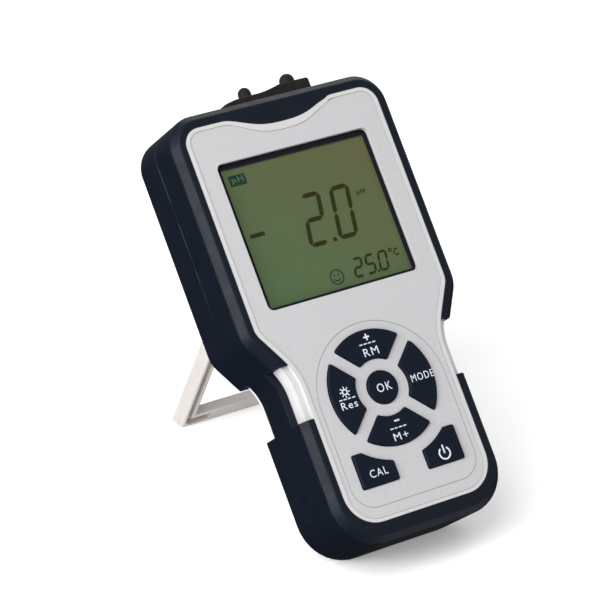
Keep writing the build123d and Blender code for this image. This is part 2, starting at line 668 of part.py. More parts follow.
# ---- case screws ----
with BuildPart() as case_screws:
    with BuildSketch(Plane.XY.offset(SCREW_HEAD_Z)):
        with Locations(*SCREW_POINTS):
            Circle(SCREW_HEAD_RADIUS)
    extrude(amount=SCREW_HEAD_HEIGHT)
    with BuildSketch(Plane.XY.offset(SCREW_HEAD_Z)):
        with Locations(*SCREW_POINTS):
            Circle(SCREW_RADIUS)
    extrude(amount=SCREW_END_Z - SCREW_HEAD_Z)
    with BuildSketch(Plane.XY.offset(SCREW_HEAD_Z)):
        with Locations(*SCREW_POINTS):
            RegularPolygon(HEX_SOCKET, 6)
    extrude(amount=1.1, mode=Mode.SUBTRACT)
pieces["case_screws"] = case_screws

# ---- kickstand, drawn on its own opened plane: y runs from the hinge to the foot ----
INNER_FACE = STAND_OUT.offset(-LEG_DEPTH / 2)
TABLE = Plane(
    origin=(0, BACK_ROUND, BACK_ROUND),
    x_dir=(1, 0, 0),
    z_dir=(0, math.sin(math.radians(LEAN)), math.cos(math.radians(LEAN))),
).offset(-BACK_ROUND)
with BuildPart() as kickstand:
    with BuildSketch(INNER_FACE):
        for side in (-1, 1):
            with Locations((side * (STAND_HALF - LEG_WIDTH / 2), STAND_LENGTH / 2)):
                Rectangle(LEG_WIDTH, STAND_LENGTH)
    extrude(amount=LEG_DEPTH)
    with BuildSketch(INNER_FACE):
        with Locations((0, (BAR_START + STAND_LENGTH) / 2)):
            Rectangle(2 * STAND_HALF, STAND_LENGTH - BAR_START)
    extrude(amount=BAR_DEPTH)
    # round eyes about the pins
    for side in (-1, 1):
        with Locations((side * (STAND_HALF - LEG_WIDTH / 2), HINGE_Y, HINGE_Z)):
            Cylinder(LEG_DEPTH / 2, LEG_WIDTH, rotation=(0, 90, 0))
    # channel in the inner face: down each leg and round into the bar
    with BuildSketch(INNER_FACE):
        for side in (-1, 1):
            outside = side * (STAND_HALF - CHANNEL_WALL)
            inside = side * (STAND_HALF - CHANNEL_WALL - CHANNEL_WIDTH)
            shoulder = BAR_START + LEG_WIDTH - CHANNEL_WALL - CHANNEL_WIDTH
            with BuildLine():
                Polyline(
                    (outside, LEG_DEPTH + 4),
                    (outside, shoulder + 2 * CHANNEL_WIDTH),
                    (side * (CHANNEL_END + 1.5), shoulder + 1.4 * CHANNEL_WIDTH),
                    (side * CHANNEL_END, shoulder),
                    (inside, shoulder),
                    (inside, LEG_DEPTH + 4),
                    close=True,
                )
            make_face()
    extrude(amount=CHANNEL_DEPTH, mode=Mode.SUBTRACT)
    split(bisect_by=TABLE, keep=Keep.TOP)
    upright_edges = kickstand.edges().filter_by(Axis((0, 0, 0), STAND_OUT.z_dir))
    fillet(upright_edges.sort_by(Axis((0, 0, 0), STAND_OUT.y_dir))[-2:], FOOT_RADIUS)
    fillet(kickstand.faces().sort_by(Axis((0, 0, 0), STAND_OUT.z_dir))[-1].edges(), STAND_ROUND)
    with Locations((0, HINGE_Y, HINGE_Z)):
        Cylinder(PIN_RADIUS + PIN_RUNNING, 3 * STAND_HALF, rotation=(0, 90, 0), mode=Mode.SUBTRACT)
pieces["kickstand"] = kickstand

with BuildPart() as stand_pins:
    for side in (-1, 1):
        with Locations((side * (PIN_IN + PIN_OUT) / 2, HINGE_Y, HINGE_Z)):
            Cylinder(PIN_RADIUS, PIN_OUT - PIN_IN, rotation=(0, 90, 0))
pieces["stand_pins"] = stand_pins

# ---- battery cover with its seal and screw ----
with BuildPart() as battery_cover:
    with BuildSketch(Plane.XY.offset(HOUSING_BACK_Z)):
        add(block((-COVER_HALF + 0.2, COVER_HALF - 0.2), (COVER_LOW + 0.2, COVER_HIGH - 0.2), COVER_RADIUS))
    extrude(amount=COVER_Z - HOUSING_BACK_Z)
    # thumb ribs
    with BuildSketch(Plane.XY.offset(HOUSING_BACK_Z)):
        with Locations(*[(0, COVER_HIGH - 20 + 3 * i) for i in range(5)]):
            SlotOverall(18, 1.2)
    extrude(amount=0.6, mode=Mode.SUBTRACT)
    with BuildSketch(Plane.XY.offset(HOUSING_BACK_Z)):
        with Locations((0, COVER_SCREW_Y)):
            Circle(SCREW_HEAD_RADIUS + 0.2)
    extrude(amount=1.2, mode=Mode.SUBTRACT)
    with Locations((0, COVER_SCREW_Y, HOUSING_BACK_Z)):
        Cylinder(SCREW_HOLE, 20, mode=Mode.SUBTRACT)
pieces["battery_cover"] = battery_cover

with BuildPart() as battery_seal:
    with BuildSketch(Plane.XY.offset(COVER_Z)):
        add(block((-COVER_HALF + 0.3, COVER_HALF - 0.3), (BAY_LOW - 1.7, COVER_HIGH - 0.3), COVER_RADIUS))
        add(block((-BAY_HALF - 0.1, BAY_HALF + 0.1), (BAY_LOW - 0.1, BAY_HIGH + 0.1)), mode=Mode.SUBTRACT)
    extrude(amount=COVER_SEAL - 0.1)
pieces["battery_seal"] = battery_seal

with BuildPart() as cover_screw:
    with BuildSketch(Plane.XY.offset(HOUSING_BACK_Z + 0.1)):
        with Locations((0, COVER_SCREW_Y)):
            Circle(SCREW_HEAD_RADIUS)
    extrude(amount=1.1)
    with BuildSketch(Plane.XY.offset(HOUSING_BACK_Z + 0.1)):
        with Locations((0, COVER_SCREW_Y)):
            Circle(SCREW_RADIUS - 0.1)
    extrude(amount=9.5)
    with BuildSketch(Plane.XY.offset(HOUSING_BACK_Z)):
        with Locations((0, COVER_SCREW_Y)):
            Rectangle(2 * SCREW_HEAD_RADIUS + 1, 0.6)
    extrude(amount=0.6, mode=Mode.SUBTRACT)
pieces["cover_screw"] = cover_screw


def make_cell(x, turned):
    """One AA cell; the two lie head to tail."""
    with BuildPart() as cell:
        with Locations((x, CELL_LOW + (CELL_LENGTH - 1.2) / 2 + (1.2 if turned else 0), CELL_Z)):
            Cylinder(CELL_RADIUS, CELL_LENGTH - 1.2, rotation=(90, 0, 0))
        fillet(cell.edges(), 0.6)
        with Locations((x, CELL_LOW + CELL_LENGTH / 2, CELL_Z)):
            Cylinder(2.6, CELL_LENGTH, rotation=(90, 0, 0))
        far_end = CELL_LOW + CELL_LENGTH if turned else CELL_LOW
        with Locations((x, far_end, CELL_Z)):
            Cylinder(2.7, 2.4, rotation=(90, 0, 0), mode=Mode.SUBTRACT)
    return cell


pieces["cell_left"] = make_cell(-CELL_X, False)
pieces["cell_right"] = make_cell(CELL_X, True)

# ---- battery contacts: flat plates at the upper end, leaf springs at the lower ----
with BuildPart() as battery_contacts:
    with BuildSketch(Plane.XZ.offset(-(BAY_HIGH - 0.1))):
        for side in (-1, 1):
            with Locations((side * CELL_X, CELL_Z)):
                Rectangle(9, 13)
            add(block(sorted((side * CELL_X - 1, side * CELL_X + 1)), (CELL_Z, BOARD_BACK_Z)))
    extrude(amount=CONTACT_THICKNESS)
pieces["battery_contacts"] = battery_contacts

with BuildPart() as battery_springs:
    for side in (-1, 1):
        with BuildSketch(Plane.YZ.offset(side * CELL_X - 3)):
            with BuildLine():
                spring_line = Polyline(
                    (BAY_LOW + 0.3, CELL_Z + 6.5),
                    (BAY_LOW + 0.3, CELL_Z - 6),
                    (CELL_LOW - 0.4, CELL_Z - 1),
                    (CELL_LOW - 0.4, CELL_Z + 2),
                    (BAY_LOW + 1.6, CELL_Z + 5),
                )
                offset(spring_line, amount=0.15, side=Side.BOTH)
            make_face()
        extrude(amount=6)
        with BuildSketch(Plane.XZ.offset(-(BAY_LOW + 0.45))):
            add(block((side * CELL_X - 1, side * CELL_X + 1), (CELL_Z + 5, BOARD_BACK_Z)))
        extrude(amount=0.3)
pieces["battery_springs"] = battery_springs

# ---- rating label on the back, blank ----
with BuildPart() as rating_label:
    with BuildSketch(Plane.XY.offset(HOUSING_BACK_Z)):
        add(block((-24, 24), (124, 152), 2.0))
    extrude(amount=-0.15)
pieces["rating_label"] = rating_label

# ---- socket well and the two sockets; their axes run along the meter ----
WELL_X = (WELL_LEFT + WELL_RIGHT) / 2
WELL_WIDTH = WELL_RIGHT - WELL_LEFT
with BuildPart() as socket_well:
    with BuildSketch(SOCKET_PLANE.offset(WELL_FLOOR_Y)):
        with Locations((WELL_X, 0)):
            Rectangle(WELL_WIDTH, 2 * WELL_HALF_DEPTH)
    extrude(amount=WELL_TOP_Y - WELL_FLOOR_Y)
    with BuildSketch(SOCKET_PLANE.offset(WELL_FLOOR_Y + WELL_FLOOR)):
        with Locations((WELL_X, 0)):
            Rectangle(WELL_WIDTH - 2 * WELL_WALL, 2 * (WELL_HALF_DEPTH - WELL_WALL))
    extrude(amount=WELL_TOP_Y - WELL_FLOOR_Y, mode=Mode.SUBTRACT)
    with BuildSketch(SOCKET_PLANE.offset(WELL_FLOOR_Y)):
        with Locations((BNC_X, 0)):
            Circle(BNC_RADIUS + 0.05)
        with Locations((TEMP_X, 0)):
            Circle(TEMP_RADIUS + 0.05)
    extrude(amount=WELL_FLOOR, mode=Mode.SUBTRACT)
pieces["socket_well"] = socket_well

FLANGE_Y = WELL_FLOOR_Y - 1.6
NUT_Y = WELL_FLOOR_Y + WELL_FLOOR


def make_shell(x, radius, bore, top, bore_depth):
    """A panel socket's metal shell: flange inside the well's floor, barrel outside."""
    with BuildPart() as shell:
        with BuildSketch(SOCKET_PLANE.offset(FLANGE_Y)):
            with Locations((x, 0)):
                Circle(radius + 1.6)
        extrude(amount=WELL_FLOOR_Y - FLANGE_Y)
        with BuildSketch(SOCKET_PLANE.offset(FLANGE_Y - 2.2)):
            with Locations((x, 0)):
                Circle(radius)
        extrude(amount=top - FLANGE_Y + 2.2)
        chamfer(shell.faces().sort_by(Axis.Y)[-1].edges(), 0.3)
        with BuildSketch(SOCKET_PLANE.offset(top)):
            with Locations((x, 0)):
                Circle(bore)
        extrude(amount=-bore_depth, mode=Mode.SUBTRACT)
        with BuildSketch(SOCKET_PLANE.offset(FLANGE_Y - 3)):
            with Locations((x, 0)):
                Circle(BNC_DIELECTRIC)
        extrude(amount=top - FLANGE_Y, mode=Mode.SUBTRACT)
        if radius == BNC_RADIUS:
            # two bayonet lugs, across the socket
            with Locations((x, top - 3.2, SOCKET_Z)):
                Cylinder(BNC_LUG_RADIUS, 2 * BNC_LUG_REACH, rotation=(0, 90, 0))
            with BuildSketch(SOCKET_PLANE.offset(top)):
                with Locations((x, 0)):
                    Circle(bore)
            extrude(amount=-bore_depth, mode=Mode.SUBTRACT)
    return shell


def make_core(x, radius, hole, low, top):
    """The insulator that carries a socket's centre contact."""
    with BuildPart() as core:
        with BuildSketch(SOCKET_PLANE.offset(low)):
            with Locations((x, 0)):
                Circle(radius)
                Circle(hole, mode=Mode.SUBTRACT)
        extrude(amount=top - low)
    return core


def make_contact(x, radius, bore, low, top):
    """A centre contact: a tube at the mouth, a solder pin at the back."""
    with BuildPart() as contact:
        with BuildSketch(SOCKET_PLANE.offset(low)):
            with Locations((x, 0)):
                Circle(radius)
        extrude(amount=top - low)
        with BuildSketch(SOCKET_PLANE.offset(top)):
            with Locations((x, 0)):
                Circle(bore)
        extrude(amount=-5, mode=Mode.SUBTRACT)
        with BuildSketch(Plane.XY.offset(SOCKET_Z)):
            with Locations((x, low + radius)):
                Circle(0.6)
        extrude(amount=BOARD_BACK_Z - SOCKET_Z)
    return contact


def make_nut(x, radius):
    with BuildPart() as nut:
        with BuildSketch(SOCKET_PLANE.offset(NUT_Y)):
            with Locations((x, 0)):
                RegularPolygon(NUT_FLATS, 6, major_radius=False)
                Circle(radius + 0.05, mode=Mode.SUBTRACT)
        extrude(amount=NUT_HEIGHT)
    return nut


CONTACT_LOW = FLANGE_Y - 5.0
pieces["bnc_shell"] = make_shell(BNC_X, BNC_RADIUS, BNC_BORE, BNC_TOP_Y, BNC_BORE_DEPTH)
pieces["bnc_insulator"] = make_core(BNC_X, BNC_DIELECTRIC - 0.02, BNC_CONTACT + 0.02, FLANGE_Y - 2.2, BNC_TOP_Y - 1.5)
pieces["bnc_contact"] = make_contact(BNC_X, BNC_CONTACT, 0.7, CONTACT_LOW, BNC_TOP_Y - 2.0)
pieces["bnc_nut"] = make_nut(BNC_X, BNC_RADIUS)
pieces["temp_shell"] = make_shell(TEMP_X, TEMP_RADIUS, TEMP_BORE, TEMP_TOP_Y, 7.0)
pieces["temp_insulator"] = make_core(
    TEMP_X, BNC_DIELECTRIC - 0.02, TEMP_CORE + 0.02, FLANGE_Y - 2.2, TEMP_TOP_Y - 3.0
)
pieces["temp_contact"] = make_contact(TEMP_X, TEMP_CORE, 1.1, CONTACT_LOW, TEMP_TOP_Y - 3.2)
pieces["temp_nut"] = make_nut(TEMP_X, TEMP_RADIUS)

# ---- dust cap strip: one rubber moulding with a sleeve over each socket ----
with BuildPart() as dust_cap_strip:
    with BuildSketch(Plane.XY.offset(SOCKET_Z - CAP_HALF_DEPTH)):
        with BuildLine():
            wave = Spline(*CAP_WAVE, tangents=[(1, 1), (1, 0)])
            Polyline(
                wave @ 1,
                (CAP_RIGHT, CAP_BLOCK_Y),
                (CAP_RIGHT, CAP_BASE_Y),
                (CAP_LEFT, CAP_BASE_Y),
                wave @ 0,
            )
        make_face()
    extrude(amount=2 * CAP_HALF_DEPTH)
    top_corners = dust_cap_strip.edges().filter_by(Axis.Z).group_by(Axis.Y)[-1]
    fillet(top_corners.sort_by(Axis.X)[-1], CAP_CORNER)
    flanks = dust_cap_strip.faces().filter_by(Axis.Z).edges()
    fillet(flanks.filter_by_position(Axis.Y, CAP_BASE_Y + 0.1, CAP_BLOCK_Y), CAP_ROUND)
    # posts with round ends to pull it off by
    for x, y, radius in KNOBS:
        with BuildSketch(SOCKET_PLANE.offset(CAP_BASE_Y + 2)):
            with Locations((x, 0)):
                Circle(radius)
        extrude(amount=y - CAP_BASE_Y - 2)
        with Locations((x, y, SOCKET_Z)):
            Sphere(radius)
    # plug that fills the boot's slot, and sleeves that reach down into the well
    with BuildSketch(SOCKET_PLANE.offset(WELL_TOP_Y + GAP)):
        with Locations((WELL_X, 0)):
            Rectangle(WELL_WIDTH - 2 * GAP, 2 * WELL_HALF_DEPTH - 2 * GAP)
    extrude(amount=CAP_BASE_Y - WELL_TOP_Y - GAP)
    with BuildSketch(SOCKET_PLANE.offset(CAP_SKIRT_Y)):
        with Locations((BNC_X, 0)):
            Circle(BNC_LUG_REACH + CAP_BORE_GAP + CAP_WALL)
        with Locations((TEMP_X, 0)):
            Circle(TEMP_RADIUS + CAP_BORE_GAP + CAP_WALL)
    extrude(amount=CAP_BASE_Y - CAP_SKIRT_Y)
    for x, radius, top in ((BNC_X, BNC_LUG_REACH, BNC_TOP_Y), (TEMP_X, TEMP_RADIUS, TEMP_TOP_Y)):
        with BuildSketch(SOCKET_PLANE.offset(CAP_SKIRT_Y)):
            with Locations((x, 0)):
                Circle(radius + CAP_BORE_GAP)
        extrude(amount=top + CAP_BORE_GAP - CAP_SKIRT_Y, mode=Mode.SUBTRACT)
pieces["dust_cap_strip"] = dust_cap_strip

# ---- lean the meter back onto its stand and centre it over the origin ----
leaning = Rot(LEAN, 0, 0)
leaned = [leaning * piece.part for piece in pieces.values()]
whole = Compound(children=leaned).bounding_box()
standing = Pos(0, -(whole.min.Y + whole.max.Y) / 2, -whole.min.Z) * leaning

os.makedirs("parts", exist_ok=True)
for name, piece in pieces.items():
    placed = standing * piece.part
    placed.label = name
    export_step(placed, f"parts/{name}.step")

print("row origin in the flat drawing", standing.inverse().position)
for title, point in {
    "kickstand hinge": (0, HINGE_Y, HINGE_Z),
    "lower end of the back": (0, 0, 0),
    "bnc mouth": (BNC_X, BNC_TOP_Y, SOCKET_Z),
    "temperature mouth": (TEMP_X, TEMP_TOP_Y, SOCKET_Z),
}.items():
    print(title, (standing * Pos(*point)).position)
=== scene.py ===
import bpy
import bmesh
import json
import math
from mathutils import Matrix, Vector


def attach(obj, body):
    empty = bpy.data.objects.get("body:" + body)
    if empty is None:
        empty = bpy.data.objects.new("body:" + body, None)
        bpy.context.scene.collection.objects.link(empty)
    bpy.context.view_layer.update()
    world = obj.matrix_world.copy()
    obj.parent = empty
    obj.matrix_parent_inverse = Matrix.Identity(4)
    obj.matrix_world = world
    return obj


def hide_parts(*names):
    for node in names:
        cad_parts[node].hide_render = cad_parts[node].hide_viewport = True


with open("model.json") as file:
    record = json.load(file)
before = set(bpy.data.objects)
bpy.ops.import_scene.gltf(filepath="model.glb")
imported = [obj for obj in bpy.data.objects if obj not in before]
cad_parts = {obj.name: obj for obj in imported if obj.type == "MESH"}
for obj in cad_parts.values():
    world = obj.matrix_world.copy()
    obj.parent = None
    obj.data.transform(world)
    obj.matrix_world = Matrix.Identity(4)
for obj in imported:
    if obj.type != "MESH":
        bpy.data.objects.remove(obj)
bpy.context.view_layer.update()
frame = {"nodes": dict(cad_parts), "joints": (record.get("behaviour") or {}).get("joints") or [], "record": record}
nodes = frame["nodes"]
joints = {joint["name"]: joint for joint in frame["joints"]}
scene = bpy.context.scene

MM = 0.001

# ---- the flat frame: x to the right, y along the meter, z out of the keypad ----
# The keys press along -z, the dust caps pull off along y, and the stand's hinge is a known
# point, so these three place everything that is drawn flat.
ALONG = Vector(joints["dust_cap_pull"]["axis"])
OUTWARD = -Vector(joints["press_ok"]["axis"])
HINGE = Vector(joints["stand_fold"]["pos_m"])
HINGE_Y = 115.2
HINGE_Z = 5.1
RIGHT = Vector((1, 0, 0))
origin = HINGE - ALONG * HINGE_Y * MM - OUTWARD * HINGE_Z * MM
FLAT = Matrix.Translation(origin) @ Matrix((RIGHT, ALONG, OUTWARD)).transposed().to_4x4()

# ---- levels and outlines, as in the CAD model, in millimetres ----
BOOT_LENGTH = 170.0
UPPER_HALF = 46.75
LOWER_HALF = 36.3
KNEE_LOW = 66.5
KNEE_HIGH = 84.0
BOTTOM_RADIUS = 17.5
KNEE_LOW_RADIUS = 20.0
KNEE_HIGH_RADIUS = 12.0
TOP_RADIUS = 12.0
LEAST_RADIUS = 3.0
SCALLOP_HALF = 25.0
SCALLOP_DROP = 5.3
SCALLOP_POWER = 1.4
WAIST = (50.3, 71.5)
OVERLAY_TOP_Z = 32.7
DISPLAY_Z = 30.2
KEY_TOP_Z = 33.7
PARTING_Z = 16.1
# y values between which the parting line's painted highlight fades in
PARTING_HIGHLIGHT_FADE = (96, 106)


# ======================================================================== materials
def colour(red, green, blue):
    """An 8-bit screen colour as the linear colour that shaders use."""
    def linear(value):
        value /= 255
        return value / 12.92 if value <= 0.04045 else ((value + 0.055) / 1.055) ** 2.4
    return (linear(red), linear(green), linear(blue), 1.0)


def scaled(rgba, factor):
    return tuple(min(1.0, channel * factor) for channel in rgba[:3]) + (1.0,)


# An edge is fully lightened, as wear and as a painted highlight, where the dot product of the true
# and the rounded normal is the first of these or less, and untouched where it is the second or more.
EDGE_FULL_DOT = 0.82
EDGE_NONE_DOT = 0.995


def set_range(node, start, end, low, high):
    """Fills in a Map Range node."""
    names = ("From Min", "From Max", "To Min", "To Max")
    for name, value in zip(names, (start, end, low, high)):
        node.inputs[name].default_value = value


class Finish:
    """A Principled material with helpers that add procedural detail to it."""

    def __init__(self, name, base, roughness, **sockets):
        self.material = bpy.data.materials.new(name)
        self.material.use_nodes = True
        self.tree = self.material.node_tree
        self.shader = self.tree.nodes["Principled BSDF"]
        self.base = base
        self.shade = base
        self.shader.inputs["Base Color"].default_value = base
        self.shader.inputs["Roughness"].default_value = roughness
        for socket, value in sockets.items():
            self.shader.inputs[socket.replace("_", " ")].default_value = value
        self.place = self.add("ShaderNodeTexCoord").outputs["Object"]
        self.height = None

    def add(self, kind, **settings):
        node = self.tree.nodes.new(kind)
        for key, value in settings.items():
            setattr(node, key, value)
        return node

    def link(self, source, target):
        self.tree.links.new(source, target)

    def noise(self, size, detail=3.0):
        """Noise whose lumps are about size millimetres across."""
        node = self.add("ShaderNodeTexNoise")
        node.inputs["Scale"].default_value = 1 / (size * MM)
        node.inputs["Detail"].default_value = detail
        self.link(self.place, node.inputs["Vector"])
        return node.outputs["Fac"]

    def spread(self, source, low, high, start=0.3, end=0.7):
        """Maps a source from start..end to low..high, and holds it at both ends."""
        node = self.add("ShaderNodeMapRange")
        set_range(node, start, end, low, high)
        self.link(source, node.inputs["Value"])
        return node.outputs["Result"]

    def multiplied(self, first, second):
        node = self.add("ShaderNodeMath", operation="MULTIPLY")
        self.link(first, node.inputs[0])
        self.link(second, node.inputs[1])
        return node.outputs["Value"]

    def mix(self, amount, first, second):
        """Blends two colours, each of them a tuple or an output."""
        node = self.add("ShaderNodeMix", data_type="RGBA")
        self.link(amount, node.inputs["Factor"])
        for socket, value in ((node.inputs["A"], first), (node.inputs["B"], second)):
            if isinstance(value, tuple):
                socket.default_value = value
            else:
                self.link(value, socket)
        return node.outputs["Result"]

    def cover(self, amount, first, second):
        """Makes a blend of two colours the base colour."""
        self.shade = self.mix(amount, first, second)
        self.link(self.shade, self.shader.inputs["Base Color"])
        return self

    def mottle(self, size, amount):
        """Slight light and dark patches in the base colour."""
        patches = self.spread(self.noise(size), 0.0, 1.0)
        return self.cover(patches, scaled(self.base, 1 - amount), scaled(self.base, 1 + amount))

    def uneven_gloss(self, size, low, high):
        self.link(self.spread(self.noise(size, 4.0), low, high), self.shader.inputs["Roughness"])
        return self

    def grain(self, size, depth, detail=2.0):
        """A moulded or sprayed texture: bump of depth millimetres; calls add up."""
        bump = self.add("ShaderNodeBump")
        bump.inputs["Distance"].default_value = depth * MM
        bump.inputs["Strength"].default_value = 1.0
        self.link(self.noise(size, detail), bump.inputs["Height"])
        if self.height is not None:
            self.link(self.height, bump.inputs["Normal"])
        self.height = bump.outputs["Normal"]
        self.link(self.height, self.shader.inputs["Normal"])
        return self

    def wear_and_highlight_edges(self, width, rgba, amount):
        """Edges painted lighter, as wear and as a painted highlight along them: where a rounded normal leaves the
        true one.
        """
        bevel = self.add("ShaderNodeBevel", samples=4)
        bevel.inputs["Radius"].default_value = width * MM
        normal = self.add("ShaderNodeNewGeometry").outputs["Normal"]
        dot = self.add("ShaderNodeVectorMath", operation="DOT_PRODUCT")
        self.link(bevel.outputs["Normal"], dot.inputs[0])
        self.link(normal, dot.inputs[1])
        edge = self.spread(dot.outputs["Value"], amount, 0.0, EDGE_FULL_DOT, EDGE_NONE_DOT)
        broken = self.spread(self.noise(3.0, 5.0), 0.2, 1.0, 0.35, 0.65)
        return self.cover(self.multiplied(edge, broken), self.shade, rgba)

    def along(self, axis):
        """How far along an axis each point of the row frame is, in metres."""
        node = self.add("ShaderNodeVectorMath", operation="DOT_PRODUCT")
        node.inputs[1].default_value = axis
        self.link(self.place, node.inputs[0])
        return node.outputs["Value"]

    def painted_highlight_line(self, z, width, fade, rgba, amount):
        """A broken painted highlight line at a flat z, of that width, fading in between two flat y values."""
        level = origin.dot(OUTWARD) + z * MM
        core = 0.3 * width * MM
        reach = 0.7 * width * MM
        start, end = (origin.dot(ALONG) + y * MM for y in fade)
        height = self.along(OUTWARD)
        highlight_amount = self.spread(self.noise(7.0, 4.0), 0.25 * amount, amount, 0.42, 0.58)
        for factor in (
            self.spread(height, 0.0, 1.0, level - reach, level - core),
            self.spread(height, 1.0, 0.0, level + core, level + reach),
            self.spread(self.along(ALONG), 0.0, 1.0, start, end),
        ):
            highlight_amount = self.multiplied(highlight_amount, factor)
        return self.cover(highlight_amount, self.shade, rgba)


def boot_rubber():
    """Dark rubber, painted lighter at its edges as wear and as a painted highlight, with a painted highlight along
    the parting line.
    """
    finish = Finish("boot_rubber", colour(5, 15, 28), 0.5, Specular_IOR_Level=0.22)
    finish.mottle(9.0, 0.12)
    # edges: a lighter colour as wear and as a painted highlight
    finish.wear_and_highlight_edges(0.7, colour(64, 76, 88), 0.45)
    # parting line: a lighter colour as a painted highlight along the seam
    finish.painted_highlight_line(PARTING_Z, 0.3, PARTING_HIGHLIGHT_FADE, colour(78, 88, 100), 0.6)
    finish.uneven_gloss(5.0, 0.46, 0.54)
    return finish.grain(0.4, 0.05).grain(2.5, 0.03).material


def key_rubber():
    finish = Finish("key_rubber", colour(4, 16, 32), 0.55, Specular_IOR_Level=0.18)
    finish.mottle(4.0, 0.12).uneven_gloss(3.0, 0.48, 0.62)
    return finish.grain(0.25, 0.015).material


def cap_rubber():
    finish = Finish("cap_rubber", colour(30, 28, 27), 0.72, Specular_IOR_Level=0.2)
    finish.mottle(3.0, 0.2).uneven_gloss(2.0, 0.6, 0.85)
    return finish.grain(0.4, 0.05, 4.0).material


def pearl_film():
    base = colour(193, 193, 195)
    finish = Finish("pearl_film", base, 0.42, Metallic=0.12, Specular_IOR_Level=0.4)
    finish.mottle(0.5, 0.06).uneven_gloss(5.0, 0.36, 0.48)
    return finish.grain(0.3, 0.006).grain(14.0, 0.05).material


def case_plastic():
    finish = Finish("case_plastic", colour(197, 196, 196), 0.36, Specular_IOR_Level=0.4)
    finish.mottle(11.0, 0.02).uneven_gloss(4.0, 0.28, 0.40)
    return finish.grain(0.5, 0.008).material


def textured_plastic(name, base, roughness):
    """Spark-textured moulded plastic, for the back and the stand."""
    finish = Finish(name, base, roughness, Specular_IOR_Level=0.4)
    finish.mottle(7.0, 0.03).uneven_gloss(3.0, roughness - 0.07, roughness + 0.08)
    return finish.grain(0.45, 0.025, 3.0).grain(6.0, 0.04).material


def plain_plastic(name, base, roughness):
    finish = Finish(name, base, roughness)
    finish.mottle(5.0, 0.08).uneven_gloss(3.0, roughness - 0.08, roughness + 0.08)
    return finish.grain(0.6, 0.01).material


# The display's edges, in metres of the row frame: x from left to right, z from low to high.
DISPLAY_ACROSS = (-0.031, 0.031)
DISPLAY_UP = (0.089, 0.129)


def display_panel():
    """Green reflective glass that turns brown towards its upper right corner."""
    finish = Finish("display_panel", colour(84, 104, 70), 0.5, Specular_IOR_Level=0.1)
    split = finish.add("ShaderNodeSeparateXYZ")
    finish.link(finish.place, split.inputs["Vector"])
    across = finish.spread(split.outputs["X"], 0.0, 0.5, *DISPLAY_ACROSS)
    up = finish.spread(split.outputs["Z"], 0.0, 0.5, *DISPLAY_UP)
    total = finish.add("ShaderNodeMath", operation="ADD")
    finish.link(across, total.inputs[0])
    finish.link(up, total.inputs[1])
    tint = finish.mix(total.outputs["Value"], colour(80, 106, 72), colour(98, 96, 64))
    patches = finish.spread(finish.noise(16.0), 0.0, 0.3)
    finish.cover(patches, tint, colour(88, 108, 74)).uneven_gloss(8.0, 0.45, 0.55)
    return finish.grain(0.12, 0.003).material


def clear_window():
    finish = Finish("clear_window", colour(26, 32, 28), 0.12, Alpha=0.05, Specular_IOR_Level=0.5)
    finish.uneven_gloss(12.0, 0.10, 0.16)
    return finish.grain(9.0, 0.01).material


def metal(name, base, roughness):
    finish = Finish(name, base, roughness, Metallic=1.0)
    finish.mottle(2.0, 0.06).uneven_gloss(1.2, roughness - 0.06, roughness + 0.1)
    return finish.grain(0.3, 0.004).material


def printed(name, base, roughness):
    """Ink or a display segment: nearly flat, a little uneven."""
    finish = Finish(name, base, roughness, Specular_IOR_Level=0.2)
    finish.mottle(1.2, 0.08)
    return finish.grain(0.2, 0.003).material


def studio_floor():
    """Pale card that glows a little, so that shadows on it stay faint."""
    finish = Finish("studio_floor", colour(250, 250, 250), 0.6, Specular_IOR_Level=0.2)
    finish.mottle(90.0, 0.006)
    finish.shader.inputs["Emission Color"].default_value = (1.0, 1.0, 1.0, 1.0)
    finish.shader.inputs["Emission Strength"].default_value = 0.22
    return finish.grain(3.0, 0.02).material


MATERIALS = {
    "boot_rubber": boot_rubber(),
    "case_front": case_plastic(),
    "case_rear": textured_plastic("case_rear", colour(206, 208, 210), 0.5),
    "seal_rubber": plain_plastic("seal_rubber", colour(30, 30, 31), 0.7),
    "overlay_film": pearl_film(),
    "window_clear": clear_window(),
    "mask_black": printed("mask_black", colour(15, 16, 28), 0.5),
    "lcd_panel": display_panel(),
    "holder_plastic": plain_plastic("holder_plastic", colour(34, 34, 36), 0.55),
    "backlight_diffuser": plain_plastic("backlight_diffuser", colour(225, 228, 220), 0.4),
    "board_green": plain_plastic("board_green", colour(24, 92, 50), 0.4),
    "chip_epoxy": plain_plastic("chip_epoxy", colour(28, 28, 30), 0.55),
    "capacitor_can": metal("capacitor_can", colour(190, 192, 196), 0.35),
    "dome_film": plain_plastic("dome_film", colour(208, 196, 160), 0.4),
    "contact_steel": metal("contact_steel", colour(196, 196, 194), 0.3),
    "key_rubber": key_rubber(),
    "stand_plastic": textured_plastic("stand_plastic", colour(188, 183, 179), 0.5),
    "cell_jacket": plain_plastic("cell_jacket", colour(38, 84, 62), 0.35),
    "label_film": textured_plastic("label_film", colour(222, 222, 219), 0.45),
    "socket_metal": metal("socket_metal", colour(205, 203, 196), 0.22),
    "insulator_white": plain_plastic("insulator_white", colour(232, 230, 224), 0.45),
    "contact_brass": metal("contact_brass", colour(206, 170, 92), 0.25),
    "cap_rubber": cap_rubber(),
}
INK = {
    "legend": printed("legend_ink", colour(212, 219, 226), 0.45),
    "segment": printed("segment", colour(40, 40, 6), 0.5),
    "badge": printed("badge", colour(22, 50, 46), 0.5),
    # groove_shadow: a mid grey as painted shade of the fine grooves round the keypad and along the panel's edge
    "groove": printed("groove_shadow", colour(150, 148, 150), 0.6),
}


def paint(piece, material):
    piece.data.materials.clear()
    piece.data.materials.append(material)


